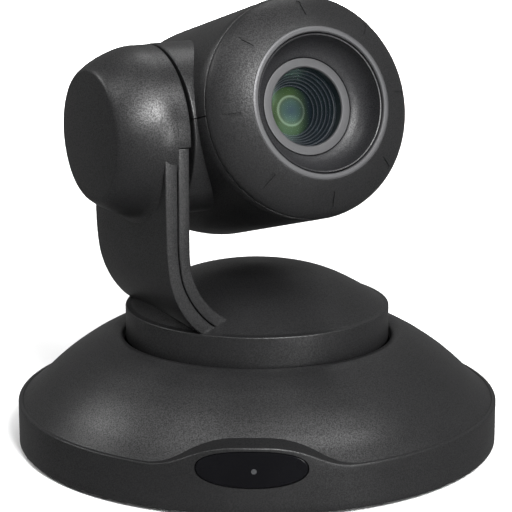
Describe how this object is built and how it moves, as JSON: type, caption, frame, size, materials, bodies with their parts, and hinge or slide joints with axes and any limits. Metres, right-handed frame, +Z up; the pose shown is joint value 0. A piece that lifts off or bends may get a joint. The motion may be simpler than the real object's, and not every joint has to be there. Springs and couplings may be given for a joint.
{
  "type": "ptz camera",
  "caption": "Pan-tilt-zoom conference camera: domed base with infrared window, turntable with a one-sided arm, and a cylindrical lens head that tilts on the arm's hub.",
  "frame": {"origin": "on the pan axis, on the surface that the feet stand on", "axes": "+Z up along the pan axis; -Y towards the base's front, where the infrared window is. At rest the head is panned 29.7 degrees towards +X and raised 15.9 degrees."},
  "size_m": [0.18, 0.18, 0.1706],
  "materials": {
    "housing": "satin charcoal moulded plastic with a fine spark texture",
    "bezel": "satin charcoal moulded plastic",
    "dark_plastic": "matte black plastic",
    "bowl": "matte black plastic with a soft sheen",
    "lens_trim": "satin grey anodised ring",
    "smoked_window": "glossy black infrared-pass window",
    "lamp": "small clear light pipe, unlit",
    "black_parts": "black epoxy component bodies",
    "circuit_board": "green solder mask",
    "base_steel": "black powder-coated steel",
    "rubber": "soft black rubber",
    "screws": "black-zinc plated steel",
    "brass": "turned brass",
    "connector_metal": "nickel-plated connector shells",
    "cast_zinc": "die-cast, as cast",
    "machine_steel": "machined steel",
    "nylon": "natural acetal gears",
    "lens_glass": "multi-coated optical glass with green and blue reflections",
    "inner_glass": "coated lens cells",
    "barrel": "black anodised tube"
  },
  "bodies": {
    "base": {"base_skirt": "housing", "base_dome": "housing", "connector_panel": "dark_plastic", "control_port": "dark_plastic", "ir_window": "smoked_window", "status_light": "lamp", "ir_receiver": "black_parts", "pan_home_sensor": "black_parts", "ir_board": "circuit_board", "main_board": "circuit_board", "base_plate": "base_steel", "foot_1": "rubber", "foot_2": "rubber", "foot_3": "rubber", "foot_4": "rubber", "base_screw_1": "screws", "base_screw_2": "screws", "base_screw_3": "screws", "base_screw_4": "screws", "tripod_bush": "brass", "power_jack": "connector_metal", "usb_port": "connector_metal", "hdmi_port": "connector_metal", "pan_chassis": "cast_zinc", "pan_bearing": "machine_steel", "pan_motor": "machine_steel"},
    "pan_unit": {"turntable": "housing", "pan_table": "cast_zinc", "pan_shaft": "machine_steel", "pan_gear": "nylon", "arm_outer_shell": "housing", "arm_inner_shell": "housing", "arm_frame": "cast_zinc", "tilt_motor": "machine_steel", "tilt_bearing": "machine_steel"},
    "head": {"head_upper_shell": "housing", "head_lower_shell": "housing", "front_bezel": "bezel", "lens_bowl": "bowl", "lens_ring": "lens_trim", "front_element": "lens_glass", "lens_barrel": "barrel", "image_sensor": "black_parts", "sensor_board": "circuit_board", "video_board": "circuit_board", "head_frame": "cast_zinc", "tilt_shaft": "machine_steel", "tilt_gear": "nylon", "head_screw_1": "screws", "head_screw_2": "screws"},
    "pan_pinion": {"pan_pinion": "brass"},
    "tilt_pinion": {"tilt_pinion": "brass"},
    "zoom_group": {"zoom_group": "inner_glass"},
    "focus_group": {"focus_group": "inner_glass"}
  },
  "joints": [
    {"name": "pan", "type": "hinge", "parent": "base", "child": "pan_unit", "pos_m": [0, 0, 0.05], "axis": [0, 0, 1], "range_deg": [-184.7, 125.3]},
    {"name": "tilt", "type": "hinge", "parent": "pan_unit", "child": "head", "pos_m": [0, 0, 0.12175], "axis": [-0.8686, -0.4955, 0], "range_deg": [-45.9, 74.1]},
    {"name": "pan_pinion_spin", "type": "hinge", "parent": "base", "child": "pan_pinion", "pos_m": [-0.02949, -0.02065, 0.03], "axis": [0, 0, 1], "range_deg": [-502, 740]},
    {"name": "tilt_pinion_spin", "type": "hinge", "parent": "pan_unit", "child": "tilt_pinion", "pos_m": [0, 0, 0.10135], "axis": [-0.8686, -0.4955, 0], "range_deg": [-242, 150]},
    {"name": "zoom", "type": "slide", "parent": "head", "child": "zoom_group", "axis": [0.4765, -0.8354, 0.274], "range_m": [-0.008, 0.008]},
    {"name": "focus", "type": "slide", "parent": "head", "child": "focus_group", "axis": [0.4765, -0.8354, 0.274], "range_m": [-0.003, 0.004]}
  ],
  "couplings": [
    {"joint": "pan_pinion_spin", "follows": "pan", "ratio": -4},
    {"joint": "tilt_pinion_spin", "follows": "tilt", "ratio": -3.25}
  ]
}
